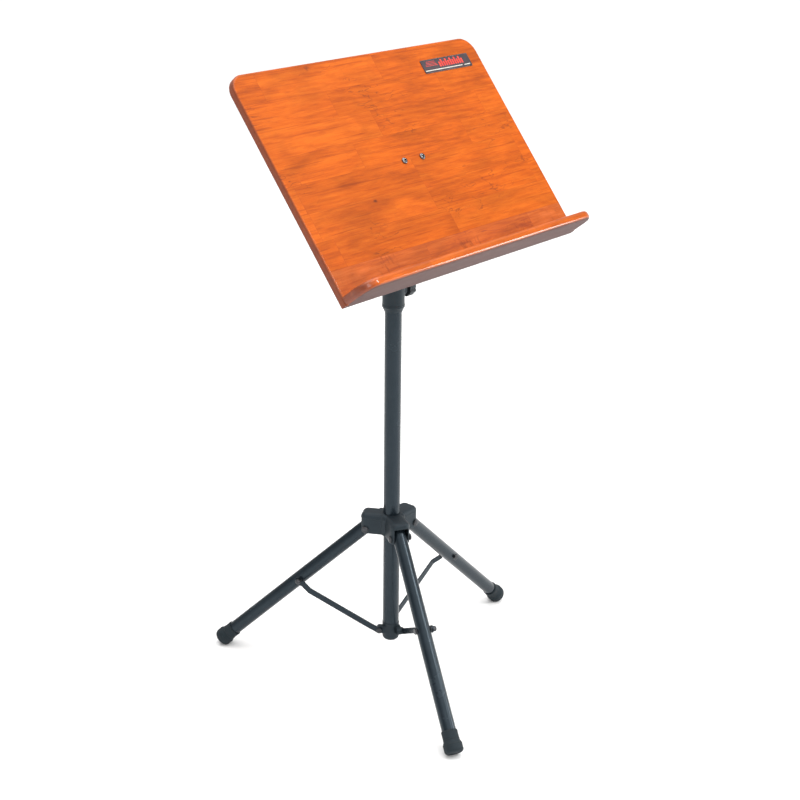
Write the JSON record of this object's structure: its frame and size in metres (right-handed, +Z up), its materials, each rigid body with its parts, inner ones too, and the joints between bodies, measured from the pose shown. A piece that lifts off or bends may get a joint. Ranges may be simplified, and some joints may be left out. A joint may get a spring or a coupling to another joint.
{
  "type": "music stand",
  "caption": "Folding tripod music stand with a lacquered wooden desk that tilts, swivels and slides in height on a tubular post.",
  "frame": {"origin": "point on the floor under the post axis", "axes": "+Z up along the post, the desk faces -Y, +X to the right of somebody reading the desk"},
  "size_m": [0.5338, 0.4962, 0.935],
  "materials": {
    "stained_wood": "orange-brown stain under gloss lacquer, grain along the width",
    "black_steel": "semi-gloss black powder coat",
    "black_plastic": "moulded, lightly textured",
    "knob_plastic": "fluted grip, satin",
    "foot_rubber": "matt",
    "dark_fastener": "black oxide",
    "plated_steel": "zinc plated",
    "chrome_bolt": "polished",
    "badge_plate": "dark plate with a plain red line pattern",
    "nylon": "natural nylon",
    "brass_insert": "turned"
  },
  "bodies": {
    "post": {"outer_tube": "black_steel", "bottom_cap": "black_plastic", "strut_rivets": "dark_fastener", "clamp_collar": "black_plastic", "collar_nut": "plated_steel", "collar_bush": "nylon"},
    "hub": {"hub_body": "black_plastic", "hub_nut": "plated_steel", "leg_rivets": "dark_fastener"},
    "hub_lock": {"hub_knob": "knob_plastic", "hub_knob_screw": "plated_steel"},
    "height_lock": {"height_knob": "knob_plastic", "height_knob_screw": "plated_steel"},
    "slider": {"guide_bush": "nylon"},
    "mast": {"inner_tube": "black_steel", "head_pin": "dark_fastener", "tilt_head": "black_plastic"},
    "desk": {"desk_board": "stained_wood", "desk_ledge": "stained_wood", "desk_badge": "badge_plate", "ledge_screws": "plated_steel", "desk_bolts": "chrome_bolt", "desk_nuts": "plated_steel", "desk_bracket": "black_steel", "tilt_bolt": "plated_steel", "tilt_washer": "plated_steel", "friction_washers": "nylon"},
    "tilt_lock": {"tilt_knob": "knob_plastic", "tilt_knob_insert": "brass_insert"},
    "leg_1": {"leg_tube_1": "black_steel", "leg_plug_1": "black_plastic", "foot_1": "foot_rubber", "leg_bolt_1": "dark_fastener"},
    "brace_1": {"strut_1": "black_steel", "strut_nut_1": "dark_fastener"},
    "leg_2": {"leg_tube_2": "black_steel", "leg_plug_2": "black_plastic", "foot_2": "foot_rubber", "leg_bolt_2": "dark_fastener"},
    "brace_2": {"strut_2": "black_steel", "strut_nut_2": "dark_fastener"},
    "leg_3": {"leg_tube_3": "black_steel", "leg_plug_3": "black_plastic", "foot_3": "foot_rubber", "leg_bolt_3": "dark_fastener"},
    "brace_3": {"strut_3": "black_steel", "strut_nut_3": "dark_fastener"}
  },
  "joints": [
    {"name": "hub_slide", "type": "slide", "parent": "post", "child": "hub", "axis": [0, 0, 1], "range_m": [0, 0.1189]},
    {"name": "hub_lock_turn", "type": "hinge", "parent": "hub", "child": "hub_lock", "pos_m": [0.015, 0.02598, 0.237], "axis": [0.5, 0.866, 0], "continuous": true},
    {"name": "height_slide", "type": "slide", "parent": "post", "child": "slider", "axis": [0, 0, 1], "range_m": [-0.1, 0.25]},
    {"name": "desk_swivel", "type": "hinge", "parent": "slider", "child": "mast", "pos_m": [0, 0, 0.6], "axis": [0, 0, 1], "continuous": true},
    {"name": "height_lock_turn", "type": "hinge", "parent": "post", "child": "height_lock", "pos_m": [0.029, 0, 0.605], "axis": [1, 0, 0], "continuous": true},
    {"name": "desk_tilt", "type": "hinge", "parent": "mast", "child": "desk", "pos_m": [0, 0, 0.7775], "axis": [-1, 0, 0], "range_deg": [-28.1, 51.9]},
    {"name": "tilt_lock_turn", "type": "hinge", "parent": "desk", "child": "tilt_lock", "pos_m": [0.025, 0, 0.7775], "axis": [1, 0, 0], "continuous": true},
    {"name": "leg_fold_1", "type": "hinge", "parent": "hub", "child": "leg_1", "pos_m": [0.038, 0, 0.2315], "axis": [0, 1, 0], "range_deg": [0, 46.75]},
    {"name": "strut_fold_1", "type": "hinge", "parent": "post", "child": "brace_1", "pos_m": [0.016, 0, 0.0605], "axis": [0, -1, 0], "range_deg": [0, 52.13]},
    {"name": "leg_fold_2", "type": "hinge", "parent": "hub", "child": "leg_2", "pos_m": [-0.019, 0.03291, 0.2315], "axis": [-0.866, -0.5, 0], "range_deg": [0, 46.75]},
    {"name": "strut_fold_2", "type": "hinge", "parent": "post", "child": "brace_2", "pos_m": [-0.008, 0.01386, 0.0605], "axis": [0.866, 0.5, 0], "range_deg": [0, 52.13]},
    {"name": "leg_fold_3", "type": "hinge", "parent": "hub", "child": "leg_3", "pos_m": [-0.019, -0.03291, 0.2315], "axis": [0.866, -0.5, 0], "range_deg": [0, 46.75]},
    {"name": "strut_fold_3", "type": "hinge", "parent": "post", "child": "brace_3", "pos_m": [-0.008, -0.01386, 0.0605], "axis": [-0.866, 0.5, 0], "range_deg": [0, 52.13]}
  ],
  "couplings": [
    {"joint": "leg_fold_1", "follows": "hub_slide", "rad_per_m": 6.8595},
    {"joint": "strut_fold_1", "follows": "hub_slide", "rad_per_m": 7.6494},
    {"joint": "leg_fold_2", "follows": "hub_slide", "rad_per_m": 6.8595},
    {"joint": "strut_fold_2", "follows": "hub_slide", "rad_per_m": 7.6494},
    {"joint": "leg_fold_3", "follows": "hub_slide", "rad_per_m": 6.8595},
    {"joint": "strut_fold_3", "follows": "hub_slide", "rad_per_m": 7.6494}
  ]
}
